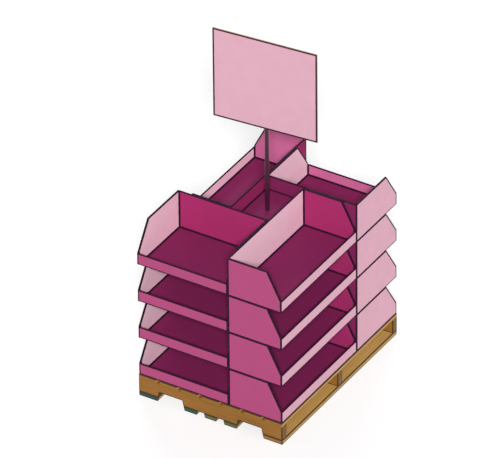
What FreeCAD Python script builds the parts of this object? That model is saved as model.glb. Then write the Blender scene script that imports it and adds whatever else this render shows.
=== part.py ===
import FreeCAD, Part
import math
import os
import Sketcher
from FreeCAD import Placement, Rotation, Vector

# A pallet display: a wooden half pallet carries four stacks of four open-fronted
# trays, set round a central well like the sails of a windmill. A post stands in
# the well and carries a plain header card. Lengths are in millimetres, +Z is up,
# the origin is the middle of the pallet's footprint, at floor level. The front of
# the pallet faces -Y.

doc = FreeCAD.newDocument("display_stand")

# Counts
TIERS = 4
DECK_BOARDS = 7
FOOT_SCREWS = 3

# Sizes
SIZES = [
    # the pallet
    ("pallet_length", 600, "pallet, left to right"),
    ("pallet_width", 800, "pallet, front to back"),
    ("stringer_height", 60, "stringer, on edge"),
    ("stringer_width", 28, "stringer, thickness"),
    ("deck_thick", 14, "deck board, thickness"),
    ("deck_gap", 16, "space between two deck boards"),
    ("runner_thick", 18, "bottom board, thickness"),
    ("lead_width", 78, "outer bottom board, width on the floor"),
    ("inner_width", 51, "inner bottom board, width on the floor"),
    ("middle_width", 46, "middle bottom board, width on the floor"),
    ("fork_width", 113, "fork opening, width on the floor"),
    ("fork_depth", 23, "notch in the stringer above the bottom boards"),
    ("fork_slope", 5, "lean of each side of a notch"),
    ("runner_bevel", 4, "lean of the free edges of the bottom boards"),
    # the trays
    ("card_thick", 2, "corrugated card of the trays"),
    ("glue_gap", 0.3, "room between two plies of card"),
    ("stack_inset", 1.5, "stacks stand this far inside the pallet's edge"),
    ("stack_gap", 2, "room between two stacks"),
    ("tray_height", 159, "tray, height of the back and side walls"),
    ("lip_height", 48, "tray, height of the front lip"),
    ("end_depth", 278, "front and rear trays, lip to back"),
    ("side_depth", 220, "right and left trays, lip to back"),
    ("end_slope", 72, "front and rear trays, run of the slanted edge"),
    ("side_slope", 57, "right and left trays, run of the slanted edge"),
    ("back_flap", 60, "length of the flaps of the back wall"),
    ("lip_flap", 42, "length of the flaps of the lip"),
    # the core in the well
    ("well_depth", 55, "from the rim of the stacks down to the core's cap"),
    ("core_room", 1, "room between the core's cap and the stacks"),
    ("sleeve_room", 0.5, "room between the core's sleeve and its cap"),
    ("skirt_height", 45, "depth of the cap's skirt"),
    ("lap_width", 35, "glued lap of the sleeve"),
    # the post and its foot
    ("post_outer", 15, "post, outside diameter"),
    ("post_wall", 1.2, "post, wall"),
    ("post_room", 0.15, "room round the post in its foot, card and plug"),
    ("hole_room", 0.5, "room round the post in the cap's hole"),
    ("flange_outer", 66, "foot, diameter of its flange"),
    ("flange_thick", 5, "foot, thickness of its flange"),
    ("boss_outer", 25, "foot, diameter of its boss"),
    ("boss_height", 40, "foot, height of its boss above the flange"),
    ("socket_depth", 36, "foot, depth of the bore that takes the post"),
    ("screw_circle", 46, "foot, diameter of the ring of screws"),
    ("screw_shank", 4, "wood screw, diameter"),
    ("screw_head", 8, "wood screw, diameter of its head"),
    ("screw_length", 17, "wood screw, length below its head"),
    ("screw_top", 2.4, "wood screw, height of its head"),
    ("screw_room", 0.1, "room round a screw in its hole"),
    ("plug_insert", 20, "plug, length inside the post"),
    ("plug_head", 2.5, "plug, height of its rounded top"),
    # the header
    ("header_width", 410, "header card, width"),
    ("header_height", 370, "header card, height"),
    ("header_thick", 4, "header card, thickness"),
    ("header_bottom", 1026, "header card, lower edge above the floor"),
    ("header_turn", 5, "header, turned to the left seen from above, degrees"),
    ("pocket_drop", 14, "pocket behind the header, distance from each end"),
    ("pocket_wing", 32, "pocket behind the header, width of a glued wing"),
]


class Formula:
    """A length that carries its number and the sheet formula that gives it."""

    def __init__(self, number, text):
        self.number = number
        self.text = text

    def __add__(self, other):
        other = formula(other)
        return Formula(self.number + other.number, f"({self.text} + {other.text})")

    def __radd__(self, other):
        return formula(other) + self

    def __sub__(self, other):
        other = formula(other)
        return Formula(self.number - other.number, f"({self.text} - {other.text})")

    def __rsub__(self, other):
        return formula(other) - self

    def __mul__(self, other):
        other = formula(other)
        return Formula(self.number * other.number, f"({self.text} * {other.text})")

    def __rmul__(self, other):
        return formula(other) * self

    def __truediv__(self, other):
        other = formula(other)
        return Formula(self.number / other.number, f"({self.text} / {other.text})")

    def __neg__(self):
        return Formula(-self.number, f"(-1 * {self.text})")


def formula(value):
    if isinstance(value, Formula):
        return value
    return Formula(float(value), str(value))


class Namespace:
    """Holds one Formula for each named size of the sheet."""


# The sheet holds the driving sizes, one row for each
sheet = doc.addObject("Spreadsheet::Sheet", "Sizes")
S = Namespace()
for row, (alias, value, note) in enumerate(SIZES, start=1):
    sheet.set(f"A{row}", note)
    sheet.set(f"B{row}", str(value))
    sheet.setAlias(f"B{row}", alias)
    setattr(S, alias, Formula(float(value), f"Sizes.{alias}"))
doc.recompute()

ZERO = Formula(0.0, "0")


def same(a, b):
    return a.text == b.text


# Tools for drawing
parts = []


def place(item, x=ZERO, y=ZERO, z=ZERO, turn=0):
    """Gives a piece its place; turn is in degrees about +Z, a number or a size."""
    x, y, z, angle = formula(x), formula(y), formula(z), formula(turn)
    base = Vector(x.number, y.number, z.number)
    item.Placement = Placement(base, Rotation(Vector(0, 0, 1), angle.number))
    for axis, value in (("x", x), ("y", y), ("z", z)):
        item.setExpression(f"Placement.Base.{axis}", value.text)
    if isinstance(turn, Formula):
        item.setExpression("Placement.Rotation.Angle", f"{angle.text} * 1 deg")


def new_body(name, listed=True):
    """Starts a piece; a listed piece is one of the finished parts."""
    body = doc.addObject("PartDesign::Body", name)
    body.Label = name
    if listed:
        parts.append(body)
    return body


def new_sketch(body, plane, name, offset=ZERO):
    """A sketch on one of the body's own planes, moved along the plane's normal."""
    sketch = body.newObject("Sketcher::SketchObject", f"{body.Name}_{name}")
    for item in body.Origin.OriginFeatures:
        if item.Role == plane:
            sketch.AttachmentSupport = (item, [""])
    sketch.MapMode = "FlatFace"
    if offset is not ZERO:
        sketch.AttachmentOffset = Placement(Vector(0, 0, offset.number), Rotation())
        sketch.setExpression("AttachmentOffset.Base.z", offset.text)
    return sketch


def pin(sketch, axis, geo, pos, value):
    """Fixes one coordinate of a point of the sketch at a formula's value."""
    if value.text == "0":
        line = -2 if axis == "X" else -1
        sketch.addConstraint(Sketcher.Constraint("PointOnObject", geo, pos, line))
        return
    kind = "DistanceX" if axis == "X" else "DistanceY"
    index = sketch.addConstraint(Sketcher.Constraint(kind, -1, 1, geo, pos, value.number))
    sketch.setExpression(f"Constraints[{index}]", value.text)


def outline(sketch, corners):
    """Draws a closed outline. A corner is (x, y), or (x, y, radius) where an upright
    and a level side meet in a rounded corner."""
    corners = [tuple(formula(v) for v in corner) for corner in corners]
    count = len(corners)
    level, upright = [], []
    for i in range(count):
        a, b = corners[i], corners[(i + 1) % count]
        upright.append(same(a[0], b[0]))
        level.append(same(a[1], b[1]))

    def point(corner):
        return Vector(corner[0].number, corner[1].number, 0)

    def trimmed(i, towards):
        """Where the side that leaves corner i towards another corner starts."""
        here, there = point(corners[i]), point(corners[towards])
        if len(corners[i]) < 3:
            return here
        return here + (there - here).normalize() * corners[i][2].number

    lines = []
    for i in range(count):
        after = (i + 1) % count
        segment = Part.LineSegment(trimmed(i, after), trimmed(after, i))
        lines.append(sketch.addGeometry(segment, False))
    for i in range(count):
        if upright[i]:
            sketch.addConstraint(Sketcher.Constraint("Vertical", lines[i]))
            pin(sketch, "X", lines[i], 1, corners[i][0])
        elif level[i]:
            sketch.addConstraint(Sketcher.Constraint("Horizontal", lines[i]))
            pin(sketch, "Y", lines[i], 1, corners[i][1])
    for i in range(count):
        before = (i - 1) % count
        if len(corners[i]) < 3:
            pair = (lines[before], 2, lines[i], 1)
            sketch.addConstraint(Sketcher.Constraint("Coincident", *pair))
            if not upright[before] and not upright[i]:
                pin(sketch, "X", lines[i], 1, corners[i][0])
            if not level[before] and not level[i]:
                pin(sketch, "Y", lines[i], 1, corners[i][1])
            continue
        radius = corners[i][2]
        start, end = trimmed(i, before), trimmed(i, (i + 1) % count)
        centre = start + end - point(corners[i])
        angles = [math.atan2(v.y, v.x) for v in (start - centre, end - centre)]
        first, last = 1, 2
        if (start - centre).cross(end - centre).z < 0:
            angles.reverse()
            first, last = 2, 1
        if angles[1] < angles[0]:
            angles[1] += 2 * math.pi
        ring = Part.Circle(centre, Vector(0, 0, 1), radius.number)
        arc = sketch.addGeometry(Part.ArcOfCircle(ring, *angles), False)
        sketch.addConstraint(Sketcher.Constraint("Tangent", lines[before], 2, arc, first))
        sketch.addConstraint(Sketcher.Constraint("Tangent", arc, last, lines[i], 1))
        index = sketch.addConstraint(Sketcher.Constraint("Radius", arc, radius.number))
        sketch.setExpression(f"Constraints[{index}]", radius.text)


def circle(sketch, radius, x=ZERO, y=ZERO):
    """Draws a circle about a point of the sketch."""
    centre = Vector(x.number, y.number, 0)
    geo = sketch.addGeometry(Part.Circle(centre, Vector(0, 0, 1), radius.number), False)
    pin(sketch, "X", geo, 3, x)
    pin(sketch, "Y", geo, 3, y)
    index = sketch.addConstraint(Sketcher.Constraint("Radius", geo, radius.number))
    sketch.setExpression(f"Constraints[{index}]", radius.text)


def pad(body, sketch, length, name, reverse=False):
    feature = body.newObject("PartDesign::Pad", f"{body.Name}_{name}")
    feature.Profile = sketch
    feature.Length = length.number
    feature.setExpression("Length", length.text)
    feature.Reversed = reverse
    return feature


def pocket(body, sketch, length, name, reverse=False):
    feature = body.newObject("PartDesign::Pocket", f"{body.Name}_{name}")
    feature.Profile = sketch
    feature.Length = length.number
    feature.setExpression("Length", length.text)
    feature.Reversed = reverse
    return feature


# The three sketch planes: the floor plan, the front view and the side view. A front
# view's normal is -Y and a side view's is +X, so pads grow towards +Y and +X here.
def plan_pad(body, name, corners, bottom, height):
    sketch = new_sketch(body, "XY_Plane", f"{name}_plan", bottom)
    outline(sketch, corners)
    return pad(body, sketch, height, name)


def front_pad(body, name, outlines, start, length):
    sketch = new_sketch(body, "XZ_Plane", f"{name}_view", -start if start is not ZERO else ZERO)
    for corners in outlines:
        outline(sketch, corners)
    return pad(body, sketch, length, name, reverse=True)


def side_pad(body, name, corners, start, length):
    sketch = new_sketch(body, "YZ_Plane", f"{name}_view", start)
    outline(sketch, corners)
    return pad(body, sketch, length, name)


def copy_of(pattern, name, listed=True):
    """A piece with the same form as a pattern piece, with a place of its own."""
    body = new_body(name, listed)
    clone = doc.addObject("PartDesign::FeatureBase", f"{name}_form")
    clone.BaseFeature = pattern
    body.Group = [clone]
    body.Tip = clone
    return body


# Levels and places that several pieces share
half_length = S.pallet_length / 2
half_width = S.pallet_width / 2
stringer_level = S.runner_thick
deck_level = stringer_level + S.stringer_height
tray_level = deck_level + S.deck_thick
rim_level = tray_level + S.tray_height * TIERS
edge_x = half_length - S.stack_inset
edge_y = half_width - S.stack_inset
end_width = 2 * edge_x - S.stack_gap - S.side_depth
side_width = 2 * edge_y - S.stack_gap - S.end_depth
well_x = 2 * (edge_x - S.side_depth)
well_y = 2 * (edge_y - S.end_depth)
cap_level = rim_level - S.well_depth

# Stringers: three boards on edge, with two notches each for the forks. They rest on
# the bottom boards and the notches line up with the spaces between those boards.
notch_left = S.lead_width + S.runner_bevel
notch_right = S.lead_width + S.fork_width - S.runner_bevel
stringer = new_body("stringer_pattern", listed=False)
front_pad(
    stringer,
    "board",
    [
        [
            (0, 0),
            (notch_left, 0),
            (notch_left + S.fork_slope, S.fork_depth),
            (notch_right - S.fork_slope, S.fork_depth),
            (notch_right, 0),
            (S.pallet_length - notch_right, 0),
            (S.pallet_length - notch_right + S.fork_slope, S.fork_depth),
            (S.pallet_length - notch_left - S.fork_slope, S.fork_depth),
            (S.pallet_length - notch_left, 0),
            (S.pallet_length, 0),
            (S.pallet_length, S.stringer_height),
            (0, S.stringer_height),
        ]
    ],
    ZERO,
    S.stringer_width,
)
stringer_places = {
    "stringer_front": -half_width,
    "stringer_middle": -S.stringer_width / 2,
    "stringer_rear": half_width - S.stringer_width,
}
for name, y in stringer_places.items():
    place(copy_of(stringer, name), -half_length, y, stringer_level)

# Bottom boards: five boards from front to back. Their free edges lean in a little
# towards the floor, so that truck wheels ride over them.
middle_left = (S.pallet_length - S.middle_width) / 2
inner_left = S.lead_width + S.fork_width


def bottom_board(name, width, lean_left, lean_right):
    body = new_body(name)
    left = S.runner_bevel if lean_left else ZERO
    right = S.runner_bevel if lean_right else ZERO
    top_right = left + width + right if lean_left else width + right
    foot_left = left
    foot_right = left + width if lean_left else width
    corners = [(foot_left, 0), (foot_right, 0), (top_right, S.runner_thick), (0, S.runner_thick)]
    front_pad(body, "board", [corners], ZERO, S.pallet_width)
    return body


lead = bottom_board("bottom_board_left", S.lead_width, False, True)
place(lead, -half_length, -half_width)
inner = bottom_board("bottom_board_inner_left", S.inner_width, True, True)
place(inner, -half_length + inner_left - S.runner_bevel, -half_width)
middle = bottom_board("bottom_board_middle", S.middle_width, True, True)
place(middle, -half_length + middle_left - S.runner_bevel, -half_width)
inner = bottom_board("bottom_board_inner_right", S.inner_width, True, True)
place(inner, half_length - inner_left - S.inner_width - S.runner_bevel, -half_width)
lead = bottom_board("bottom_board_right", S.lead_width, True, False)
place(lead, half_length - S.lead_width - S.runner_bevel, -half_width)

# Deck boards: they run from front to back over the three stringers. The middle one
# has holes for the screws of the post's foot.
board_width = (S.pallet_length - S.deck_gap * (DECK_BOARDS - 1)) / DECK_BOARDS
screw_hole = S.screw_shank / 2 + S.screw_room
screw_places = []
for i in range(FOOT_SCREWS):
    angle = 2 * math.pi * (i + 0.25) / FOOT_SCREWS
    radius = S.screw_circle / 2
    screw_places.append((radius * round(math.cos(angle), 6), radius * round(math.sin(angle), 6)))
for i in range(DECK_BOARDS):
    body = new_body(f"deck_board_{i + 1}")
    corners = [(0, 0), (board_width, 0), (board_width, S.pallet_width), (0, S.pallet_width)]
    plan_pad(body, "board", corners, ZERO, S.deck_thick)
    if i == DECK_BOARDS // 2:
        depth = S.screw_length - S.flange_thick + S.screw_room
        sketch = new_sketch(body, "XY_Plane", "pilot_plan", S.deck_thick)
        for x, y in screw_places:
            circle(sketch, screw_hole, board_width / 2 + x, half_width + y)
        pocket(body, sketch, depth, "pilot_holes")
    place(body, -half_length + (board_width + S.deck_gap) * i, -half_width, deck_level)


# Trays: each is one die-cut sheet of card. The side walls are rolled over, so two
# plies hold the flaps of the back wall and of the lip between them. The back wall
# and the lip are rolled over too. The side walls slant down to the lip.
def folded_tray(name, width, depth, slope):
    """A tray that opens towards -Y, with its left front foot at the origin."""
    body = new_body(name, listed=False)
    card, gap = S.card_thick, S.glue_gap
    side_wall = 3 * card + gap
    end_wall = 2 * card + gap
    flap_side = card + gap / 2
    high, lip = S.tray_height, S.lip_height

    def far(corners, size, axis):
        """The same outline seen from the other end of the width or depth."""
        flipped = []
        for corner in corners:
            corner = list(corner)
            corner[axis] = size - corner[axis]
            flipped.append(tuple(corner))
        return flipped

    floor = [(card, card), (width - card, card), (width - card, depth - card), (card, depth - card)]
    plan_pad(body, "floor", floor, ZERO, card)
    # outer plies of the side walls, folded up from the floor
    ply = [
        (side_wall, 0),
        (0, 0, card),
        (0, high - card),
        (card, high - card),
        (card, card),
        (side_wall, card),
    ]
    front_pad(body, "side", [ply, far(ply, width, 0)], ZERO, depth)
    # their rolled tops and inner plies, which stop short of the lip and the back
    roll = [
        (0, high - 3 * card),
        (0, high, card),
        (side_wall, high, card),
        (side_wall, card),
        (side_wall - card, card),
        (side_wall - card, high - card),
        (card, high - card),
        (card, high - 3 * card),
    ]
    clear = end_wall + gap
    front_pad(body, "side_roll", [roll, far(roll, width, 0)], clear, depth - 2 * clear)
    # the slant from the rim down to the lip, cut through both side walls
    sketch = new_sketch(body, "YZ_Plane", "slant_view")
    outline(sketch, [(0, lip), (slope, high), (slope, high + card), (0, high + card)])
    pocket(body, sketch, width, "slant", reverse=True)

    # the lip and the back wall: a fold, a ply with a flap at each end, a rolled top
    for end, top, flap in (("lip", lip, S.lip_flap), ("back", high, S.back_flap)):
        rise = [
            (end_wall, 0),
            (0, 0, card),
            (0, 3 * card),
            (card, 3 * card),
            (card, card),
            (end_wall, card),
        ]
        left, right = flap_side, width - flap_side
        plan = [
            (left, flap),
            (left, 0),
            (right, 0),
            (right, flap),
            (right - card, flap),
            (right - card, card),
            (left + card, card),
            (left + card, flap),
        ]
        over = [
            (0, top - 3 * card),
            (0, top, card),
            (end_wall, top, card),
            (end_wall, card),
            (end_wall - card, card),
            (end_wall - card, top - card),
            (card, top - card),
            (card, top - 3 * card),
        ]
        if end == "back":
            rise = far(rise, depth, 0)
            plan = far(plan, depth, 1)
            over = far(over, depth, 0)
        start = flap_side + card
        side_pad(body, f"{end}_fold", rise, start, width - 2 * start)
        base = card + gap
        plan_pad(body, f"{end}_flaps", plan, base, top - card - gap - base)
        start = side_wall + gap
        side_pad(body, f"{end}_roll", over, start, width - 2 * start)
    return body


end_tray = folded_tray("end_tray_pattern", end_width, S.end_depth, S.end_slope)
side_tray = folded_tray("side_tray_pattern", side_width, S.side_depth, S.side_slope)
stacks = {
    "front": (end_tray, -edge_x, -edge_y, 0),
    "right": (side_tray, edge_x, -edge_y, 90),
    "rear": (end_tray, edge_x, edge_y, 180),
    "left": (side_tray, -edge_x, edge_y, 270),
}
for tier in range(TIERS):
    for side, (pattern, x, y, turn) in stacks.items():
        tray = copy_of(pattern, f"tray_{side}_{tier + 1}")
        place(tray, x, y, tray_level + S.tray_height * tier, turn)

# Core sleeve: a folded tube of card that stands on the deck in the well. Its lap is
# glued inside its left wall.
card = S.card_thick
cap_x = well_x - 2 * S.core_room
cap_y = well_y - 2 * S.core_room
shrink = card + S.sleeve_room
sleeve_x = cap_x - 2 * shrink
sleeve_y = cap_y - 2 * shrink
sleeve_height = cap_level - card - tray_level
sleeve = new_body("core_sleeve")
wall_plan = [
    (0, 0, card),
    (sleeve_x, 0, card),
    (sleeve_x, sleeve_y, card),
    (0, sleeve_y, card),
]
hollow_plan = [
    (card, card),
    (sleeve_x - card, card),
    (sleeve_x - card, sleeve_y - card),
    (card, sleeve_y - card),
]
plan_pad(sleeve, "walls", wall_plan, ZERO, sleeve_height)
sketch = new_sketch(sleeve, "XY_Plane", "hollow_plan")
outline(sketch, hollow_plan)
pocket(sleeve, sketch, sleeve_height, "hollow", reverse=True)
lap_plan = [
    (card, sleeve_y - card - S.lap_width),
    (2 * card, sleeve_y - card - S.lap_width),
    (2 * card, sleeve_y - card),
    (card, sleeve_y - card),
]
plan_pad(sleeve, "lap", lap_plan, ZERO, sleeve_height)
place(sleeve, -sleeve_x / 2, -sleeve_y / 2, tray_level)

# Core cap: a shallow folded lid over the sleeve, with a hole for the post. Its four
# skirts hang down round the sleeve and meet at the corners with a small gap.
cap = new_body("core_cap")
skirt = S.skirt_height
top_plan = [(card, card), (cap_x - card, card), (cap_x - card, cap_y - card), (card, cap_y - card)]
plan_pad(cap, "top", top_plan, skirt - card, card)


def drop(size):
    """The section of two skirts folded down from the cap's top."""
    near = [
        (0, 0),
        (0, skirt, card),
        (2 * card, skirt),
        (2 * card, skirt - card),
        (card, skirt - card),
        (card, 0),
    ]
    other = [
        (size, 0),
        (size, skirt, card),
        (size - 2 * card, skirt),
        (size - 2 * card, skirt - card),
        (size - card, skirt - card),
        (size - card, 0),
    ]
    return near, other


front_pad(cap, "long_skirts", drop(cap_x), S.glue_gap, cap_y - 2 * S.glue_gap)
near, other = drop(cap_y)
start = card + S.glue_gap
side_pad(cap, "front_skirt", near, start, cap_x - 2 * start)
side_pad(cap, "rear_skirt", other, start, cap_x - 2 * start)
sketch = new_sketch(cap, "XY_Plane", "post_hole_plan")
circle(sketch, S.post_outer / 2 + S.hole_room, cap_x / 2, cap_y / 2)
pocket(cap, sketch, skirt, "post_hole", reverse=True)
place(cap, -cap_x / 2, -cap_y / 2, cap_level - skirt)


# Turned pieces: the post's foot, the post itself and the plug in its top
def turned(name, corners, listed=True):
    body = new_body(name, listed)
    sketch = new_sketch(body, "XZ_Plane", "half_section")
    outline(sketch, corners)
    feature = body.newObject("PartDesign::Revolution", f"{name}_turn")
    feature.Profile = sketch
    feature.ReferenceAxis = (sketch, ["V_Axis"])
    feature.Angle = 360
    return body


socket_floor = S.flange_thick + S.boss_height - S.socket_depth
bore = S.post_outer / 2 + S.post_room
foot = turned(
    "post_foot",
    [
        (0, 0),
        (S.flange_outer / 2, 0),
        (S.flange_outer / 2, S.flange_thick),
        (S.boss_outer / 2, S.flange_thick),
        (S.boss_outer / 2, S.flange_thick + S.boss_height),
        (bore, S.flange_thick + S.boss_height),
        (bore, socket_floor),
        (0, socket_floor),
    ],
)
sketch = new_sketch(foot, "XY_Plane", "screw_plan")
for x, y in screw_places:
    circle(sketch, screw_hole, x, y)
pocket(foot, sketch, S.flange_thick, "screw_holes", reverse=True)
place(foot, ZERO, ZERO, tray_level)
post_level = tray_level + socket_floor
stop_level = S.header_bottom + S.header_height - S.pocket_drop - card
post_length = stop_level - S.plug_head - post_level
post_inner = S.post_outer / 2 - S.post_wall
post = turned(
    "post",
    [
        (post_inner, 0),
        (S.post_outer / 2, 0),
        (S.post_outer / 2, post_length),
        (post_inner, post_length),
    ],
)
place(post, ZERO, ZERO, post_level)
plug = turned(
    "post_plug",
    [
        (0, 0),
        (post_inner - S.post_room, 0),
        (post_inner - S.post_room, S.plug_insert),
        (S.post_outer / 2, S.plug_insert),
        (S.post_outer / 2, S.plug_insert + S.plug_head / 2),
        (S.post_outer / 2 - S.plug_head, S.plug_insert + S.plug_head),
        (0, S.plug_insert + S.plug_head),
    ],
)
place(plug, ZERO, ZERO, post_level + post_length - S.plug_insert)

# Wood screws that hold the foot to the middle deck board
screw = turned(
    "screw_pattern",
    [
        (0, 0),
        (S.screw_shank / 2, 0),
        (S.screw_shank / 2, S.screw_length),
        (S.screw_head / 2, S.screw_length),
        (S.screw_head / 2, S.screw_length + S.screw_top),
        (0, S.screw_length + S.screw_top),
    ],
    listed=False,
)
screws = []
for i, (x, y) in enumerate(screw_places):
    item = copy_of(screw, f"foot_screw_{i + 1}", listed=False)
    place(item, x, y, tray_level + S.flange_thick - S.screw_length)
    screws.append(item)
group = doc.addObject("Part::Compound", "foot_screws")
group.Label = "foot_screws"
group.Links = screws
parts.append(group)

# Header: a plain card in front of the post, and behind it a folded pocket whose wings
# are glued to the card. The post slides up into the pocket as far as its closed top.
back_face = S.post_outer / 2 + S.post_room
side = S.header_width / 2
header = new_body("header_card")
corners = [(-side, 0), (side, 0), (side, S.header_height), (-side, S.header_height)]
front_pad(header, "card", [corners], -back_face - S.header_thick, S.header_thick)
place(header, ZERO, ZERO, S.header_bottom, S.header_turn)

holder = new_body("header_pocket")
half_in = back_face
half_out = half_in + card
tip = half_out + S.pocket_wing
hat = [
    (-tip, -back_face),
    (-half_in, -back_face, card),
    (-half_in, half_in),
    (half_in, half_in),
    (half_in, -back_face, card),
    (tip, -back_face),
    (tip, card - back_face),
    (half_out, card - back_face),
    (half_out, half_out, card),
    (-half_out, half_out, card),
    (-half_out, card - back_face),
    (-tip, card - back_face),
]
pocket_height = S.header_height - 2 * S.pocket_drop
plan_pad(holder, "hat", hat, ZERO, pocket_height)
tongue_side = half_in - S.glue_gap
tongue = [
    (-tongue_side, S.glue_gap - back_face),
    (tongue_side, S.glue_gap - back_face),
    (tongue_side, half_in),
    (-tongue_side, half_in),
]
plan_pad(holder, "tongue", tongue, pocket_height - card, card)
place(holder, ZERO, ZERO, S.header_bottom + S.pocket_drop, S.header_turn)

# Check every object, then write each piece to its own file
doc.recompute()
for item in doc.Objects:
    if "Invalid" in item.State or "Error" in item.State:
        raise RuntimeError(f"{item.Label} failed: {item.State}")
os.makedirs("parts", exist_ok=True)
for item in parts:
    shape = item.Shape
    if shape.isNull() or not shape.isValid():
        raise RuntimeError(f"{item.Label} has no valid shape")
for item in parts:
    item.Shape.exportStep(f"parts/{item.Label}.step")
    solids = len(item.Shape.Solids)
    print(f"{item.Label}: {solids} solid(s), {item.Shape.Volume / 1000:.2f} cm3")
print(f"{len(parts)} pieces")
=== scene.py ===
# %% [markdown]
# # A cardboard display stand on a half-size pallet
#
# The real object is a shop display. Sixteen folded cardboard trays stand in four stacks, turned
# round an empty well like the arms of a pinwheel. A cardboard core fills the well, a painted pole
# stands in it, and the pole carries a header board. A wooden pallet is under everything.
# The solids come ready made from the CAD model. This lesson gives them their print, their wood
# grain and their plastic. It remakes the header as true corrugated board, eases the edges of the
# pallet's boards and adds the heads of their nails.

import math

import bmesh
import bpy
from mathutils import Matrix, Vector


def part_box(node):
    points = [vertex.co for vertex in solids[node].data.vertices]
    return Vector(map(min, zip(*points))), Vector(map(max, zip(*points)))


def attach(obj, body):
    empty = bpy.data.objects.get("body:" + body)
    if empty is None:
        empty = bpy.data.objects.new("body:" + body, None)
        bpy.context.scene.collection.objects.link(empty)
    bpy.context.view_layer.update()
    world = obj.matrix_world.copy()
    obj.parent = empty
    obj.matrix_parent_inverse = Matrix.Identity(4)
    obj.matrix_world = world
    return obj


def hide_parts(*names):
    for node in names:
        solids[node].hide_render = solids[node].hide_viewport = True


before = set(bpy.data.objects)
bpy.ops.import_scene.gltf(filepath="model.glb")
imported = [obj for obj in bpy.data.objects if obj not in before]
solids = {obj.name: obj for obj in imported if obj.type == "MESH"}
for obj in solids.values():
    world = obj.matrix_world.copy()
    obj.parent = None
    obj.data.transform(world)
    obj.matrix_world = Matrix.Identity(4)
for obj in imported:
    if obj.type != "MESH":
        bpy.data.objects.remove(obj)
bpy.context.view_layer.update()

# %% [markdown]
# A finish is easier to read as sums than as a web of boxes and wires. So one small class wraps a
# shader socket, and its plus, minus and times signs add the Math nodes. A second class holds a
# material and adds any other node in one call. Plain numbers are still worked out in Python.


# %% Sums on a surface
class Field:
    """A number that changes over a surface. Sums on it add Math nodes to its finish."""

    def __init__(self, finish, socket):
        self.finish = finish
        self.socket = socket

    def sum(self, operation, *values):
        return self.finish.node("ShaderNodeMath", {"operation": operation}, values)

    def __add__(self, other):
        return self.sum("ADD", self, other)

    def __sub__(self, other):
        return self.sum("SUBTRACT", self, other)

    def __rsub__(self, other):
        return self.sum("SUBTRACT", other, self)

    def __mul__(self, other):
        return self.sum("MULTIPLY", self, other)

    def __truediv__(self, other):
        return self.sum("DIVIDE", self, other)

    def __abs__(self):
        return self.sum("ABSOLUTE", self)

    __radd__ = __add__
    __rmul__ = __mul__

    def least(self, other):
        return self.sum("MINIMUM", self, other)

    def most(self, other):
        return self.sum("MAXIMUM", self, other)

    def over(self, limit):
        return self.sum("GREATER_THAN", self, limit)

    def whole(self):
        return self.sum("FLOOR", self)

    def wave(self, pitch):
        return self.sum("SINE", self * (math.tau / pitch))

    def rise(self, low, high):
        """0 below low, 1 above high, with a soft step between them."""
        ends = {"Value": self, "From Min": low, "From Max": high}
        smooth = {"interpolation_type": "SMOOTHSTEP"}
        return self.finish.node("ShaderNodeMapRange", smooth, ends)

    def within(self, width, soft):
        """1 below a width and 0 above it, with a soft step of twice `soft` between them."""
        return 1 - self.rise(width - soft, width + soft)


# %% A finish and its nodes
class Finish:
    """A node material with one shader, read in millimetres over the object."""

    def __init__(self, name, **constants):
        self.material = bpy.data.materials.new(name)
        self.material.use_nodes = True
        self.tree = self.material.node_tree
        self.shader = self.tree.nodes["Principled BSDF"]
        for socket, value in constants.items():
            self.shader.inputs[socket.replace("_", " ")].default_value = value
        self.where = self.node("ShaderNodeTexCoord", out="Object")
        self.facing = self.node("ShaderNodeTexCoord", out="Normal")
        self.x, self.y, self.z = [axis * 1000 for axis in self.split(self.where)]
        self.nx, self.ny, self.nz = self.split(self.facing)

    def node(self, kind, settings=None, sockets=(), out=0):
        made = self.tree.nodes.new(kind)
        for name, value in (settings or {}).items():
            setattr(made, name, value)
        pairs = sockets.items() if isinstance(sockets, dict) else enumerate(sockets)
        for key, value in pairs:
            if isinstance(value, Field):
                self.tree.links.new(value.socket, made.inputs[key])
            else:
                made.inputs[key].default_value = value
        return Field(self, made.outputs[out])

    def split(self, vector):
        parts = self.node("ShaderNodeSeparateXYZ", None, [vector])
        return [Field(self, socket) for socket in parts.socket.node.outputs]

    def mix(self, mask, under, over):
        sockets = {0: mask, 6: under, 7: over}
        return self.node("ShaderNodeMix", {"data_type": "RGBA"}, sockets, out=2)

    def noise(self, size, detail=2.0, stretch=(1.0, 1.0, 1.0), shift=0.0):
        """Cloudy 0 to 1 values whose blots are about `size` millimetres across."""
        scale = Vector(stretch) * (1000 / size)
        turned = {"Vector": self.where, "Scale": scale, "Location": (shift, shift, 0)}
        moved = self.node("ShaderNodeMapping", None, turned)
        sockets = {"Vector": moved, "Scale": 1.0, "Detail": detail}
        return self.node("ShaderNodeTexNoise", None, sockets)

    def bump(self, height, depth):
        """Raises the surface by `depth` millimetres where height is 1."""
        sockets = {"Height": height, "Distance": depth / 1000, "Strength": 1.0}
        self.feed("Normal", self.node("ShaderNodeBump", None, sockets))

    def feed(self, socket, value):
        self.tree.links.new(value.socket, self.shader.inputs[socket])

    def shade(self, colour, amount):
        """Darkens and lightens a colour by a field centred on 0.5."""
        sockets = {"Value": amount + 0.5, "Color": colour}
        return self.node("ShaderNodeHueSaturation", None, sockets)


def ink(red, green, blue):
    """A colour written as on a screen, turned to the light values that shaders use."""

    def light(level):
        level = level / 255
        return level / 12.92 if level <= 0.04045 else ((level + 0.055) / 1.055) ** 2.4

    return (light(red), light(green), light(blue), 1.0)
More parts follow.
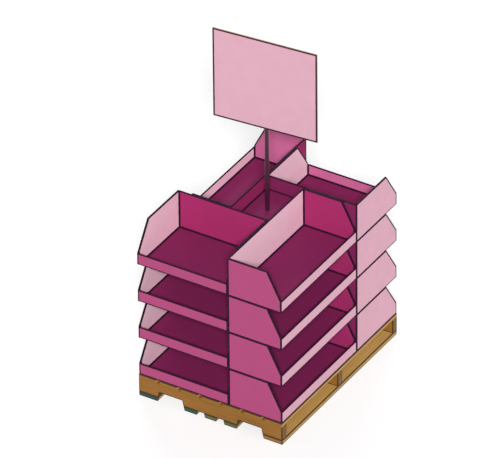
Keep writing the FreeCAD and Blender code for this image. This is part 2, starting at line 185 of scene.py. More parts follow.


# %% [markdown]
# The trays' flat fields of pink and purple are painted light and shade: each face takes its tone
# from the way it looks. Faces that look along x take the lit pink, faces that look to the front
# or back the half-shaded pink, and walls by the well, the backs of the lips there and the floors
# the crimson and dark purple of painted shade. A dark line runs along every fold. A printer would
# lay these lines on the flat blank before it is folded. Here the material works out how far each
# point is from the nearest fold, in the tray's own width, depth and height, and turns that
# distance into a line. No picture is needed, and the lines stay sharp in any view.

# %% Inks of the print, and of painted light and shade
# Less light falls inside a tray, so the two pinks there are mixed a little lighter
# The pinks, the crimson and the purple are one board, painted lit, half-shaded and shaded
SHADE_PURPLE = ink(126, 36, 85)
WELL_SHADE_CRIMSON = ink(161, 45, 101)
HALF_SHADE_PINK = ink(170, 74, 118)
LIT_SIDE_PINK = ink(231, 179, 197)
LIT_SIDE_PINK_INSIDE = ink(249, 204, 220)
HALF_SHADE_PINK_INSIDE = ink(197, 105, 150)
HEADER_PINK = ink(210, 162, 178)
LINE_PLUM = ink(48, 20, 42)
KRAFT = ink(178, 138, 96)

# %% Sizes of a tray and of its print, in millimetres
tray_low, tray_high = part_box("tray_front_1")
TRAY_FOOT = tray_low.z * 1000
TRAY_HEIGHT = (tray_high.z - tray_low.z) * 1000
LIP_HEIGHT = 48.0
END_SLOPE = 72.0
SIDE_SLOPE = 57.0
SIDE_PLY = 6.3
LIP_PLY = 4.3
CARD = 2.0
FLUTE_PITCH = 3.2
LINE = 5.2
CAP_LINE = 9.0
LINE_SOFT = 0.35
# Walls that look to the front or back take the crimson of painted shade when they stand this near
# the middle, where the well is
MIDDLE = 200.0

# A face looks along an axis when that part of its unit normal is over this. On the rounded folds
# of the trays the limit is higher, so that no point counts for two sides.
SQUARE_ON = 0.7
SQUARE_ON_ROUND = 0.72
LEANING = 0.3


def millimetres(node):
    """Centre and half sizes of a solid's box."""
    low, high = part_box(node)
    return (low + high) * 500, (high - low) * 500


for side in ("front", "right"):
    tray_half = millimetres(f"tray_{side}_1")[1]
    print(side, "tray:", [round(2 * v, 1) for v in tray_half], "mm")


# %% Distances on one tray
def tray_places(finish, side):
    """Place along the tray, depth from its lip, facing along both, half width and reach."""
    centre, half = millimetres(f"tray_{side}_1")
    if side in ("front", "rear"):
        outward = -1 if side == "front" else 1
        along, width, reach = finish.x - centre.x, half.x, half.y
        depth = (centre.y + outward * half.y - finish.y) * outward
        return along, depth, finish.nx, finish.ny * outward, width, 2 * reach
    outward = -1 if side == "left" else 1
    along, width, reach = finish.y - centre.y, half.y, half.x
    depth = (centre.x + outward * half.x - finish.x) * outward
    return along, depth, finish.ny, finish.nx * outward, width, 2 * reach


# A point on a tray's foot still belongs to that tray and not to the one below
STOREY_ROOM = 0.0001


def fold_distance(finish, side, slope):
    """Millimetres to the nearest fold or rim of the tray, and masks for its faces."""
    along, depth, n_along, n_out, half_width, reach = tray_places(finish, side)
    storey = (finish.z - TRAY_FOOT) / TRAY_HEIGHT
    height = (storey - (storey + STOREY_ROOM).whole()) * TRAY_HEIGHT
    flat = abs(finish.nz).over(SQUARE_ON_ROUND)
    wall = abs(n_along).over(SQUARE_ON_ROUND)
    lip = 1 - flat.most(wall)
    inner_wall = 1 - (n_along * along).over(0.0)
    inner_lip = 1 - (n_out * (reach / 2 - depth)).over(0.0)
    from_side = half_width - abs(along)
    from_end = depth.least(reach - depth)
    at_front = 1 - depth.over(reach / 2)
    rise = TRAY_HEIGHT - LIP_HEIGHT
    top = TRAY_HEIGHT - at_front * rise
    length = math.hypot(rise, slope)
    slant = abs((height - LIP_HEIGHT) * (slope / length) - depth * (rise / length))
    on_wall = (from_end - inner_wall * LIP_PLY).least(slant)
    on_wall = on_wall.least((height - inner_wall * CARD).least(TRAY_HEIGHT - height))
    on_lip = (from_side - inner_lip * SIDE_PLY).least(height - inner_lip * CARD)
    on_lip = on_lip.least(top - height)
    on_floor = (from_side - SIDE_PLY).least(from_end - LIP_PLY)
    distance = wall * abs(on_wall) + lip * abs(on_lip) + flat * abs(on_floor)
    # the rolled rims are inked all over, and so is what stands above the lip at its ends
    rim = finish.nz.over(LEANING) * height.over(LIP_HEIGHT - 1)
    rim = rim.most(lip * at_front * height.over(LIP_HEIGHT + 0.4))
    back = lip * (1 - at_front) * (1 - inner_lip)
    inside = wall * inner_wall + lip * inner_lip
    return distance, rim, back, wall, inside, along, depth


# %% [markdown]
# Corrugated board is never quite flat. The wavy inner paper shows through the outer one as faint
# ribs, called washboarding. The ink lies a little unevenly on recycled paper, and folds crack
# All three are small, so they are bump and tone, and the shape stays the solid's. Along the ribs
# the tone is painted shade of their waves.


# %% Printed board
FIBRE_SIZE, STREAK_SIZE, CLOUD_SIZE, CRACK_SIZE = 0.9, 9.0, 55.0, 6.0
WORN_THROUGH = 0.55
RIB_RISE = 0.05
BOARD_ROUGHNESS = 0.68


def print_card(finish, colour, ribs, distance):
    """Adds ribs with painted shade, paper grain and worn folds to a printed colour, and feeds the
    shader.
    """
    rib = ribs.wave(FLUTE_PITCH) * 0.5 + 0.5
    fibre = finish.noise(FIBRE_SIZE, detail=3.0)
    cloud = finish.noise(CLOUD_SIZE, detail=3.0, shift=0.37)
    streak = finish.noise(STREAK_SIZE, shift=0.71)
    tone = 0.5 + (fibre - 0.5) * 0.10 + (cloud - 0.5) * 0.12 + (streak - 0.5) * 0.07
    # the ribs also darken and lighten the colour a little: painted shade of the washboard waves
    colour = finish.shade(colour, tone + (rib - 0.5) * 0.018)
    worn = finish.noise(CRACK_SIZE, detail=3.0).rise(0.60, 0.68)
    crack = (1 - distance.rise(0.15, 0.7)) * worn
    colour = finish.mix(crack * WORN_THROUGH, colour, KRAFT)
    finish.feed("Base Color", colour)
    finish.feed("Roughness", BOARD_ROUGHNESS + (fibre - 0.5) * 0.16 + (cloud - 0.5) * 0.08)
    finish.bump(rib * 0.6 + fibre * 0.4, RIB_RISE)


def tray_print_and_shade(side):
    """The print of one stack of trays, with painted light and shade set by the way each face
    looks.
    """
    finish = Finish(f"tray_print_and_shade_{side}", Specular_IOR_Level=0.08)
    ends = side in ("front", "rear")
    slope = END_SLOPE if ends else SIDE_SLOPE
    distance, rim, back, wall, inside, along, depth = fold_distance(finish, side, slope)
    facing_x = abs(finish.nx).over(LEANING)
    facing_y = abs(finish.ny).over(LEANING)
    middle = 1 - abs(finish.y).over(MIDDLE)
    # painted light and shade: faces along x are the lit pink, front and back faces the
    # half-shaded pink, those near the middle and the lips' backs in the well shaded crimson or
    # purple, and floors the shaded purple
    side_pink = finish.mix(inside, LIT_SIDE_PINK, LIT_SIDE_PINK_INSIDE)
    front_pink = finish.mix(inside, HALF_SHADE_PINK, HALF_SHADE_PINK_INSIDE)
    colour = finish.mix(facing_x, SHADE_PURPLE, side_pink)
    colour = finish.mix(facing_y, colour, front_pink)
    colour = finish.mix(facing_y * middle, colour, WELL_SHADE_CRIMSON)
    colour = finish.mix(back, colour, SHADE_PURPLE if ends else WELL_SHADE_CRIMSON)
    line = distance.within(LINE, LINE_SOFT).most(rim)
    colour = finish.mix(line, colour, LINE_PLUM)
    print_card(finish, colour, wall * depth + (1 - wall) * along, distance)
    return finish.material


def dress(node, material):
    """Gives a CAD solid its material and leaves its mesh as it is."""
    slots = solids[node].data.materials
    if not len(slots):
        slots.append(material)
    for index in range(len(slots)):
        slots[index] = material


for side in ("front", "right", "rear", "left"):
    printed = tray_print_and_shade(side)
    stack = [name for name in solids if name.startswith(f"tray_{side}_")]
    for name in stack:
        dress(name, printed)
    print("printed", len(stack), "trays of the", side, "stack")


# %% [markdown]
# The core is a plain sleeve with a cap. The cap's dark purple is the painted shade of the well,
# as on the tray floors, and it has the same printed fold lines. The sleeve stands out of sight
# between the stacks, so a maker leaves it unprinted brown board.


# %% Distance from the edges of a box
FAR_AWAY = 10000.0


def edge_distance(places, halves, facings):
    """Millimetres to the nearest edge of a box, on the face that the point lies on."""
    distance = None
    for place, half, facing in zip(places, halves, facings):
        here = half - abs(place) + abs(facing).over(SQUARE_ON) * FAR_AWAY
        distance = here if distance is None else distance.least(here)
    return distance


def boxed(finish, node):
    """Edge distance for a square-on box solid."""
    centre, half = millimetres(node)
    places = (finish.x - centre.x, finish.y - centre.y, finish.z - centre.z)
    return edge_distance(places, half, (finish.nx, finish.ny, finish.nz))


# %% Core cap, sleeve and the pocket behind the header
def plain_card(name, node, colour, line, width=LINE):
    """One-colour board, with fold lines in the second colour."""
    finish = Finish(name, Specular_IOR_Level=0.10)
    distance = abs(boxed(finish, node))
    folds = distance.within(width, LINE_SOFT)
    colour = finish.mix(folds, colour, line)
    print_card(finish, colour, finish.x + finish.y, distance)
    return finish.material


POCKET_PINK = ink(196, 142, 164)
DARK_KRAFT = ink(150, 113, 76)
# the cap's dark purple is painted shade in the well
dress("core_cap", plain_card("cap_shade_and_print", "core_cap", SHADE_PURPLE, LINE_PLUM, CAP_LINE))
dress("core_sleeve", plain_card("brown_board", "core_sleeve", KRAFT, DARK_KRAFT))
dress("header_pocket", plain_card("pocket_print", "header_pocket", POCKET_PINK, LINE_PLUM))
print("core and pocket dressed")

# %% [markdown]
# The header is a flat sheet of corrugated board, 4 mm thick: two papers with a wavy one glued
# between them. Its cut top and bottom edges show the waves, so here they are real shapes. A
# Geometry Nodes tree bends a line into the wave and sweeps a tall thin strip along it, and two
# flat papers close the sheet. Its sizes are inputs of the tree, and the place comes from the CAD
# solid that it stands for.

# %% Place and size of the header
HEADER_TURN = math.radians(5.0)
turn_back = Matrix.Rotation(-HEADER_TURN, 4, "Z")
corners = [turn_back @ v.co for v in solids["header_card"].data.vertices]
header_low = Vector([min(c[i] for c in corners) for i in range(3)])
header_high = Vector([max(c[i] for c in corners) for i in range(3)])
header_size = header_high - header_low
header_centre = (header_high + header_low) / 2
print("header:", [round(v * 1000, 1) for v in header_size], "mm")


# %% Header print
HEADER_LINE = 6.35
PAPER_DEPTH = 0.2


def header_print(name, printed):
    """Pink print with a dark border, or bare brown paper for the waves."""
    finish = Finish(name, Specular_IOR_Level=0.25)
    cos, sin = math.cos(HEADER_TURN), math.sin(HEADER_TURN)
    centre, half = header_centre * 1000, header_size * 500
    across = finish.x * cos + finish.y * sin - centre.x
    through = finish.y * cos - finish.x * sin - centre.y
    facing = (finish.nx * cos + finish.ny * sin, finish.ny * cos - finish.nx * sin, finish.nz)
    places = (across, through, finish.z - centre.z)
    distance = abs(edge_distance(places, half, facing))
    outside = abs(facing[1]).over(SQUARE_ON) * abs(through).over(half.y - PAPER_DEPTH)
    colour = finish.mix(outside, KRAFT, HEADER_PINK if printed else KRAFT)
    border = distance.within(HEADER_LINE, LINE_SOFT) * outside
    colour = finish.mix(border, colour, LINE_PLUM if printed else KRAFT)
    print_card(finish, colour, across, distance)
    return finish.material


header_paper = header_print("header_print", True)
brown_paper = header_print("brown_paper", False)


# %% Small helpers for a geometry tree
def tree_inputs(tree, kind, names):
    """Named inputs of one kind. Their values are set on the object that runs the tree."""
    for name in names:
        tree.interface.new_socket(name, in_out="INPUT", socket_type=kind)


def tree_node(tree, kind, settings=None, sockets=None, out=0):
    """Adds a node to a geometry tree and returns one of its outputs."""
    made = tree.nodes.new(kind)
    for name, value in (settings or {}).items():
        setattr(made, name, value)
    for key, value in (sockets or {}).items():
        if isinstance(value, bpy.types.NodeSocket):
            tree.links.new(value, made.inputs[key])
        else:
            made.inputs[key].default_value = value
    return made.outputs[out]


# %% The tree that makes corrugated board, in metres
HEADER_FLUTE = 0.0079
HEADER_PAPER = 0.0004
POINTS_PER_WAVE = 12.0


def board_tree():
    """Two flat papers with a swept wave between them, turned and set in the header's place."""
    tree = bpy.data.node_groups.new("corrugated_board", "GeometryNodeTree")
    tree.interface.new_socket("Geometry", in_out="OUTPUT", socket_type="NodeSocketGeometry")
    tree_inputs(tree, "NodeSocketFloat", ("Width", "Height", "Thickness", "Pitch", "Paper"))
    tree_inputs(tree, "NodeSocketVector", ("Turn", "Place"))
    given = tree.nodes.new("NodeGroupInput").outputs

    def number(operation, a, b=0.0):
        return tree_node(tree, "ShaderNodeMath", {"operation": operation}, {0: a, 1: b})

    def point(x=0.0, y=0.0, z=0.0):
        return tree_node(tree, "ShaderNodeCombineXYZ", None, {0: x, 1: y, 2: z})

    def geometry(kind, settings=None, **sockets):
        named = {key.replace("_", " "): value for key, value in sockets.items()}
        return tree_node(tree, kind, settings, named)

    right = number("MULTIPLY", given["Width"], 0.5)
    left = number("MULTIPLY", right, -1.0)
    line = geometry("GeometryNodeCurvePrimitiveLine", Start=point(left), End=point(right))
    waves = number("DIVIDE", given["Width"], given["Pitch"])
    steps = number("MULTIPLY", waves, POINTS_PER_WAVE)
    line = geometry("GeometryNodeResampleCurve", Curve=line, Count=steps)
    spot = geometry("GeometryNodeInputPosition")
    x = tree_node(tree, "ShaderNodeSeparateXYZ", None, {0: spot})
    turns = number("MULTIPLY", number("DIVIDE", x, given["Pitch"]), math.tau)
    room = number("SUBTRACT", given["Thickness"], number("MULTIPLY", given["Paper"], 3.0))
    swing = number("MULTIPLY", number("SINE", turns), number("MULTIPLY", room, 0.5))
    line = geometry("GeometryNodeSetPosition", Geometry=line, Offset=point(0.0, swing))
    line = geometry("GeometryNodeSetCurveNormal", {"mode": "Z_UP"}, Curve=line)
    strip = {"Width": given["Paper"], "Height": given["Height"]}
    strip = geometry("GeometryNodeCurvePrimitiveQuadrilateral", **strip)
    sweep = {"Curve": line, "Profile Curve": strip, "Fill Caps": True}
    wave = tree_node(tree, "GeometryNodeCurveToMesh", None, sweep)
    wave = geometry("GeometryNodeSetMaterial", Geometry=wave, Material=brown_paper)
    named = {"data_type": "BOOLEAN", "domain": "FACE"}
    mark = {"Geometry": wave, "Name": "wave", "Value": True}
    wave = tree_node(tree, "GeometryNodeStoreNamedAttribute", named, mark)
    read = {"data_type": "BOOLEAN"}
    is_wave = tree_node(tree, "GeometryNodeInputNamedAttribute", read, {"Name": "wave"})
    paper = point(given["Width"], given["Paper"], given["Height"])
    paper = geometry("GeometryNodeMeshCube", Size=paper)
    apart = number("MULTIPLY", number("SUBTRACT", given["Thickness"], given["Paper"]), 0.5)
    front = number("MULTIPLY", apart, -1.0)
    joined = tree.nodes.new("GeometryNodeJoinGeometry")
    for offset in (front, apart):
        moved = geometry("GeometryNodeTransform", Geometry=paper, Translation=point(0.0, offset))
        tree.links.new(moved, joined.inputs[0])
    tree.links.new(wave, joined.inputs[0])
    joint = joined.outputs[0]
    placed = {"Geometry": joint, "Rotation": given["Turn"], "Translation": given["Place"]}
    placed = tree_node(tree, "GeometryNodeTransform", None, placed)
    whole = geometry("GeometryNodeRealizeInstances", Geometry=placed)
    flat = tree_node(tree, "FunctionNodeBooleanMath", {"operation": "NOT"}, {0: is_wave})
    last = {"Geometry": whole, "Selection": flat, "Material": header_paper}
    last = tree_node(tree, "GeometryNodeSetMaterial", None, last)
    tree.links.new(last, tree.nodes.new("NodeGroupOutput").inputs[0])
    return tree


# %% From tree to plain mesh
def made_by(tree, name, values, points=()):
    """Runs a tree once with its inputs' values and keeps its result as a plain mesh."""
    start = bpy.data.meshes.new(name + "_start")
    start.from_pydata(points, [], [])
    holder = bpy.data.objects.new(name + "_tree", start)
    bpy.context.scene.collection.objects.link(holder)
    modifier = holder.modifiers.new("tree", "NODES")
    modifier.node_group = tree
    for item in tree.interface.items_tree:
        if item.name in values:
            modifier[item.identifier] = values[item.name]
    seen = holder.evaluated_get(bpy.context.evaluated_depsgraph_get())
    mesh = bpy.data.meshes.new_from_object(seen)
    bpy.data.objects.remove(holder)
    used = sorted({face.material_index for face in mesh.polygons})
    kept = [mesh.materials[index] for index in used]
    places = [used.index(face.material_index) for face in mesh.polygons]
    mesh.materials.clear()
    for material in kept:
        mesh.materials.append(material)
    mesh.polygons.foreach_set("material_index", places)
    piece = bpy.data.objects.new(name, mesh)
    bpy.context.scene.collection.objects.link(piece)
    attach(piece, "root")
    print(name, "faces:", len(mesh.polygons), "finishes:", len(kept))
    return piece


header_values = {
    "Width": header_size.x,
    "Height": header_size.z,
    "Thickness": header_size.y,
    "Pitch": HEADER_FLUTE,
    "Paper": HEADER_PAPER,
    "Turn": (0.0, 0.0, HEADER_TURN),
    "Place": tuple(turn_back.inverted() @ header_centre),
}
header_board = made_by(board_tree(), "header_board", header_values)
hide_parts("header_card")

# %% [markdown]
# The pallet is sawn softwood. Grain runs along each board as long thin streaks, and shows as
# rings on a cut end. Noise pulled long in one direction makes the streaks, and sines of the
# distance from a pith point make the rings. Each board gets its own pith and its own tone. The
# drawing's dark outlines are kept as a stained line along the sharp edges.

# %% Tones of the wood, with painted light and shade on its faces
# The darker front tone and the lighter side tone are one wood, painted as shaded and lit
WOOD_FRONT_SHADE = ink(143, 97, 37)
WOOD_SIDE_LIT = ink(198, 155, 88)
WOOD_END = ink(132, 94, 50)
WOOD_LINE = ink(48, 34, 22)
# The ends of the bottom boards are tinted dark teal, green and olive, all but the right-hand
# board's
BOARD_END_TINTS = {
    "bottom_board_left": ink(40, 72, 68),
    "bottom_board_inner_left": ink(52, 80, 62),
    "bottom_board_middle": ink(96, 102, 60),
    "bottom_board_inner_right": ink(84, 92, 52),
    "bottom_board_right": ink(150, 108, 50),
}
WOOD_LINE_WIDTH, WOOD_LINE_SOFT, BEYOND_LINE = 3.9, 0.4, 9.0

# Heights on the pallet, and the fork notches cut in each stringer, in millimetres
STRINGER_FOOT, NOTCH_TOP, STRINGER_BODY, DECK_BODY = 18.0, 41.0, 74.0, 88.0
NOTCH_CENTRE = 165.5
NOTCH_HALF = 52.5
NOTCH_LEAN = 5.0 / 23.0


def notch_distance(finish):
    """Millimetres to the outline of the fork notches in a stringer's lower edge."""
    beside = abs(abs(finish.x) - NOTCH_CENTRE)
    wide = NOTCH_HALF - (finish.z - STRINGER_FOOT) * NOTCH_LEAN
    return (beside - wide).most(finish.z - NOTCH_TOP)


# Blots of the grain, in millimetres. A share of 0.05 draws them out to twenty times as long
STREAK, FINE, SWAY, PATCH = 6.0, 1.1, 90.0, 110.0
LONG_GRAIN, LONG_SWAY = 0.05, 0.35
PITH_ASIDE, PITH_BELOW, PITH_SPREAD = 30, 34, 12
RING_PITCH = 4.6
RING_SWAY = 34
KNOTS_PER_METRE = 9.0
GRAIN_RISE = 0.5


# %% Sawn softwood
def sawn_wood(node, number, lengthwise):
    """Wood for one board: grain along x or y, rings on its ends, a knot or two, its own tone."""
    finish = Finish(f"wood_{node}", Specular_IOR_Level=0.3)
    centre = millimetres(node)[0]
    along_x = lengthwise == "x"

    def drawn_out(share):
        """A stretch that makes blots long in the direction of the grain."""
        return (share, 1.0, 1.0) if along_x else (1.0, share, 1.0)

    end = abs(finish.nx if along_x else finish.ny).over(SQUARE_ON)
    streak = finish.noise(STREAK, 4.0, drawn_out(LONG_GRAIN), number * 1.7)
    fine = finish.noise(FINE, 3.0, drawn_out(LONG_GRAIN), number * 2.3)
    cloud = finish.noise(PATCH, shift=number * 3.1)
    sway = finish.noise(SWAY, stretch=drawn_out(LONG_SWAY), shift=number)
    # the pith lies below the board, at a place of its own for each board
    across = (finish.y - centre.y) if along_x else (finish.x - centre.x)
    across = across - math.sin(number * 2.1) * PITH_ASIDE
    up = finish.z - centre.z + PITH_BELOW + PITH_SPREAD * math.cos(number * 1.3)
    pith = finish.node("ShaderNodeMath", {"operation": "SQRT"}, [across * across + up * up])
    rings = (pith + sway * RING_SWAY).wave(RING_PITCH) * 0.5 + 0.5
    late_wood = rings.rise(0.55, 0.98)
    knot_at = {"Vector": finish.where, "Scale": KNOTS_PER_METRE, "Randomness": 1.0}
    knot = finish.node("ShaderNodeTexVoronoi", {"voronoi_dimensions": "3D"}, knot_at)
    knot = 1 - knot.rise(0.035, 0.085)
    # a stringer takes the darker, painted-shade tone all over; a board takes it on faces that
    # look to the front or back, and the lighter, painted-lit tone on its other faces
    front = abs(finish.ny).over(SQUARE_ON)
    colour = finish.mix(front, WOOD_FRONT_SHADE if along_x else WOOD_SIDE_LIT, WOOD_FRONT_SHADE)
    end_tint = WOOD_END if along_x else BOARD_END_TINTS.get(node, WOOD_FRONT_SHADE)
    colour = finish.mix(end, colour, end_tint)
    own = 0.5 + 0.05 * math.sin(number * 4.7)
    tone = own + (streak - 0.5) * 0.5 * (1 - end * 0.7)
    tone = tone + (fine - 0.5) * 0.34 + (cloud - 0.5) * 0.2
    tone = tone - late_wood * (end * 0.06 + 0.10) + 0.04 - knot * (0.30 - end * 0.30)
    colour = finish.shade(colour, tone)
    # stringers and deck boards touch along their whole length, and no line is drawn there
    distance = abs(boxed(finish, node))
    if "stringer" in node:
        distance = distance.most(finish.z.over(STRINGER_BODY) * BEYOND_LINE)
        distance = distance.least(abs(notch_distance(finish)))
    elif "deck" in node:
        distance = distance.most((1 - finish.z.over(DECK_BODY)) * BEYOND_LINE)
    line = distance.within(WOOD_LINE_WIDTH, WOOD_LINE_SOFT)
    colour = finish.mix(line * 0.9, colour, WOOD_LINE)
    finish.feed("Base Color", colour)
    finish.feed("Roughness", 0.70 + (streak - 0.5) * 0.2 - late_wood * 0.08)
    finish.bump(streak * 0.4 + fine * 0.35 + late_wood * 0.25, GRAIN_RISE)
    return finish.material


boards = sorted(n for n in solids if "board_" in n and not n.startswith("header"))
stringers = sorted(n for n in solids if n.startswith("stringer_"))
wood = {}
for number, node in enumerate(boards + stringers):
    wood[node] = sawn_wood(node, number + 1, "x" if node in stringers else "y")
print("boards:", len(boards), "stringers:", len(stringers))

# %% [markdown]
# A saw leaves sharp corners on a board, and handling wears them down at once. So each board is
# shown by a copy of its solid with its triangles merged into flat faces and its edges eased by
# about a millimetre. The copy never grows past the solid.


# %% Boards with eased edges
EASE = 0.0012
SAME_PLACE = 0.00002
FLAT_ANGLE = 0.01


def eased_board(node):
    """A copy of a board's solid with small rounded edges, standing for the solid."""
    cut = bmesh.new()
    cut.from_mesh(solids[node].data)
    bmesh.ops.remove_doubles(cut, verts=cut.verts, dist=SAME_PLACE)
    bmesh.ops.dissolve_limit(cut, angle_limit=FLAT_ANGLE, verts=cut.verts, edges=cut.edges)
    worn = {"offset": EASE, "segments": 2, "profile": 0.5, "affect": "EDGES"}
    bmesh.ops.bevel(cut, geom=cut.edges[:], clamp_overlap=True, **worn)
    bmesh.ops.recalc_face_normals(cut, faces=cut.faces)
    mesh = bpy.data.meshes.new(f"eased_{node}")
    cut.to_mesh(mesh)
    cut.free()
    mesh.materials.append(wood[node])
    board = bpy.data.objects.new(f"eased_{node}", mesh)
    bpy.context.scene.collection.objects.link(board)
    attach(board, "root")
    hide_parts(node)
    return board


eased = [eased_board(node) for node in boards + stringers]
print("eased boards:", len(eased), "faces:", sum(len(b.data.polygons) for b in eased))

# %% [markdown]
# Two nails hold each bottom board to each stringer, and their flat heads show from below. All
# heads are alike, so one is made and a Geometry Nodes tree sets it on a list of points, each
# turned a little at random from a fixed seed. The undersides are eased back by a third of a
# millimetre, so that the heads stand proud of the wood and still keep inside the pallet's box.

# %% Where the nails go
NAIL_RADIUS, NAIL_HEIGHT, NAIL_PROUD = 0.0036, 0.0012, 0.0003
NAIL_SHARES = (0.24, 0.76)
NAIL_SWAY = 0.004
bottom_boards = [name for name in boards if name.startswith("bottom_")]
for board in eased:
    if board.name.startswith("eased_bottom"):
        for corner in board.data.vertices:
            corner.co.z = max(corner.co.z, NAIL_PROUD)
nail_points = []
for name in bottom_boards:
    low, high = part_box(name)
    for stringer in stringers:
        near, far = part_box(stringer)
        for share in NAIL_SHARES:
            sway = NAIL_SWAY * math.sin(len(nail_points) * 2.4)
            across = low.x + (high.x - low.x) * share
            nail_points.append((across, (near.y + far.y) / 2 + sway, 0.0))
print("nails:", len(nail_points))


# %% The tree that sets the nail heads
def nail_tree(material):
    """A flat round head on every point that comes in."""
    tree = bpy.data.node_groups.new("nail_heads", "GeometryNodeTree")
    tree.interface.new_socket("Geometry", in_out="OUTPUT", socket_type="NodeSocketGeometry")
    tree_inputs(tree, "NodeSocketGeometry", ("Geometry",))
    tree_inputs(tree, "NodeSocketFloat", ("Head Radius", "Head Height"))
    given = tree.nodes.new("NodeGroupInput").outputs
    size = {"Radius": given["Head Radius"], "Depth": given["Head Height"], "Vertices": 16}
    head = tree_node(tree, "GeometryNodeMeshCylinder", None, size)
    times = {"operation": "MULTIPLY"}
    lift = tree_node(tree, "ShaderNodeMath", times, {0: given["Head Height"], 1: 0.5})
    lift = tree_node(tree, "ShaderNodeCombineXYZ", None, {2: lift})
    head = tree_node(tree, "GeometryNodeTransform", None, {"Geometry": head, "Translation": lift})
    seeded = {"Max": 3.0, "Seed": 7}
    turn = tree_node(tree, "FunctionNodeRandomValue", {"data_type": "FLOAT"}, seeded, 1)
    turn = tree_node(tree, "ShaderNodeCombineXYZ", None, {2: turn})
    points = tree_node(tree, "GeometryNodeMeshToPoints", None, {"Mesh": given["Geometry"]})
    placed = {"Points": points, "Instance": head, "Rotation": turn}
    placed = tree_node(tree, "GeometryNodeInstanceOnPoints", None, placed)
    whole = tree_node(tree, "GeometryNodeRealizeInstances", None, {"Geometry": placed})
    last = {"Geometry": whole, "Material": material}
    last = tree_node(tree, "GeometryNodeSetMaterial", None, last)
    tree.links.new(last, tree.nodes.new("NodeGroupOutput").inputs[0])
    return tree


# %% [markdown]
# The pole is a steel tube, powder coated in dark plum. The coat is smooth with a slight orange
# peel, a little duller than gloss. Its foot and its end plug are moulded plastic with a fine
# spark texture, and the three screws are zinc-plated steel.


# %% Coated steel, plastic and zinc
def coat(name, colour, roughness, speck, depth, metallic=0.0):
    """A smooth solid colour with fine texture, faint clouds and a few dull scuffs."""
    finish = Finish(name, Metallic=metallic, Specular_IOR_Level=0.4)
    peel = finish.noise(speck, 2.0)
    cloud = finish.noise(40.0, 3.0, shift=0.5)
    scuff = finish.noise(7.0, 4.0, (1.0, 1.0, 0.3), 0.9).rise(0.62, 0.75)
    finish.feed("Base Color", finish.shade(colour, 0.5 + (cloud - 0.5) * 0.18 + scuff * 0.05))
    finish.feed("Roughness", roughness + (cloud - 0.5) * 0.1 + scuff * 0.15)
    finish.bump(peel, depth)
    return finish.material


dress("post", coat("plum_coat", ink(60, 21, 43), 0.38, 1.8, 0.02))
dress("post_foot", coat("foot_plastic", ink(48, 26, 42), 0.50, 0.5, 0.03))
dress("post_plug", coat("plug_plastic", ink(60, 28, 48), 0.45, 0.5, 0.02))
dress("foot_screws", coat("zinc_steel", ink(188, 190, 194), 0.32, 0.8, 0.01, 1.0))
print("pole, foot, plug and screws dressed")

# %% Nail heads of bright steel
nail_steel = coat("nail_steel", ink(150, 150, 148), 0.42, 0.6, 0.02, 1.0)
nail_values = {"Head Radius": NAIL_RADIUS, "Head Height": NAIL_HEIGHT}
made_by(nail_tree(nail_steel), "nail_heads", nail_values, nail_points)

# %% [markdown]
# The picture has a white background. A wide pale floor is lit as the object is, and a little
# light of its own, for camera and mirror rays only, lifts it to white. So it still takes the
# object's shadow, and sheds no extra light on the cardboard.

# %% Floor
FLOOR_HALF = 60.0
FLOOR_LEVEL = -0.0003
FLOOR_GREY = ink(196, 196, 196)
FLOOR_GLOW = 0.5
floor_mesh = bpy.data.meshes.new("floor")
signs = [(-1, -1), (1, -1), (1, 1), (-1, 1)]
floor_corners = [(FLOOR_HALF * x, FLOOR_HALF * y, FLOOR_LEVEL) for x, y in signs]
floor_mesh.from_pydata(floor_corners, [], [(0, 1, 2, 3)])
floor = bpy.data.objects.new("floor", floor_mesh)
bpy.context.scene.collection.objects.link(floor)
floor_paper = Finish("floor_paper", Roughness=0.9, Specular_IOR_Level=0.0)
floor_grain = floor_paper.noise(400.0)
floor_tone = floor_paper.shade(FLOOR_GREY, 0.5 + (floor_grain - 0.5) * 0.01)
floor_paper.feed("Base Color", floor_tone)
seen = floor_paper.node("ShaderNodeLightPath", out="Is Camera Ray")
mirrored = floor_paper.node("ShaderNodeLightPath", out="Is Glossy Ray")
strength = seen.most(mirrored) * FLOOR_GLOW
glow = floor_paper.node("ShaderNodeEmission", None, {"Strength": strength})
paper = Field(floor_paper, floor_paper.shader.outputs[0])
both = floor_paper.node("ShaderNodeAddShader", None, [paper, glow])
floor_paper.tree.links.new(both.socket, floor_paper.tree.nodes["Material Output"].inputs[0])
floor_mesh.materials.append(floor_paper.material)

# %% [markdown]
# The light is a cloudy sky and two soft suns. The even sky makes a colour render about as it is
# written. The first sun stands behind the viewer, so it reaches into the trays. The second stands
# opposite, so the back of the stand is lit as well. Both are wide, so their shadows are soft.

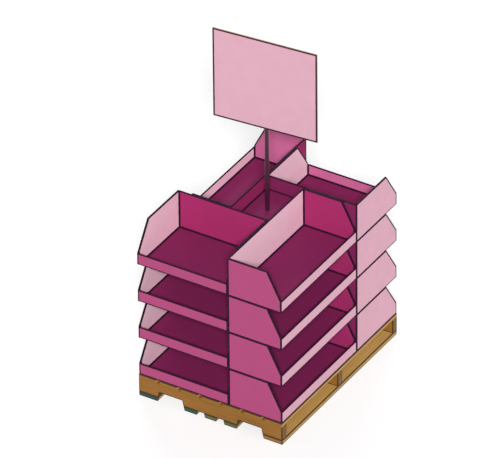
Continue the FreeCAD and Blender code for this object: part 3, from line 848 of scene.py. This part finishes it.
# %% Sky and suns
SKY_LIGHT = 0.30
SKY_SEEN = 1.0
world = bpy.data.worlds.new("studio")
bpy.context.scene.world = world
world.use_nodes = True
sky = world.node_tree.nodes["Background"]
rays = world.node_tree.nodes.new("ShaderNodeLightPath")
level = world.node_tree.nodes.new("ShaderNodeMapRange")
level.inputs["To Min"].default_value = SKY_LIGHT
level.inputs["To Max"].default_value = SKY_SEEN
world.node_tree.links.new(rays.outputs["Is Camera Ray"], level.inputs["Value"])
world.node_tree.links.new(level.outputs[0], sky.inputs["Strength"])
sky.inputs["Color"].default_value = (1.0, 1.0, 1.0, 1.0)


def soft_sun(name, heading, height, strength, width):
    """A wide sun from a heading, measured from the front towards the right, all in degrees."""
    light = bpy.data.lights.new(name, "SUN")
    light.energy = strength
    light.angle = math.radians(width)
    turn, rise = math.radians(heading), math.radians(height)
    towards = Vector((math.sin(turn), -math.cos(turn), math.tan(rise)))
    sun = bpy.data.objects.new(name, light)
    sun.rotation_euler = towards.to_track_quat("Z", "Y").to_euler()
    bpy.context.scene.collection.objects.link(sun)


soft_sun("front_sun", heading=32, height=34, strength=3.25, width=8)
soft_sun("rear_sun", heading=212, height=14, strength=2.3, width=40)
print("sky and suns set")

# %% [markdown]
# The drawing has almost no perspective, so the camera stands far away with a long lens. Its
# heading, height and slight tilt come from matching the corners of the pallet, the trays and the
# header to the picture, and so does the width in millimetres that the picture spans at the stand.

# %% Camera
HEADING, HEIGHT, TILT = (math.radians(v) for v in (31.755, 34.401, -0.5578))
FAR = 30.0
PIXELS, PIXELS_PER_MM = 503, 0.28062
PICTURE_WIDTH = PIXELS / PIXELS_PER_MM
SENSOR = 36.0
AIM = Vector((0.0, 0.0, 0.6))
SHIFT_RIGHT, SHIFT_UP = -0.057, -0.00785
back = Vector((math.sin(HEADING), -math.cos(HEADING), math.tan(HEIGHT))).normalized()
level_right = Vector((math.cos(HEADING), math.sin(HEADING), 0.0))
level_up = back.cross(level_right)
right = level_right * math.cos(TILT) + level_up * math.sin(TILT)
up = back.cross(right)
camera_data = bpy.data.cameras.new("camera")
camera_data.sensor_width = SENSOR
camera_data.lens = SENSOR * FAR * 1000 / PICTURE_WIDTH
camera_data.clip_end = 200.0
camera = bpy.data.objects.new("camera", camera_data)
camera.matrix_world = Matrix((right, up, back)).transposed().to_4x4()
camera.location = AIM + back * FAR + right * SHIFT_RIGHT + up * SHIFT_UP
bpy.context.scene.collection.objects.link(camera)
bpy.context.scene.camera = camera
bpy.context.scene.view_settings.view_transform = "Standard"
print("lens:", round(camera_data.lens, 1), "mm")
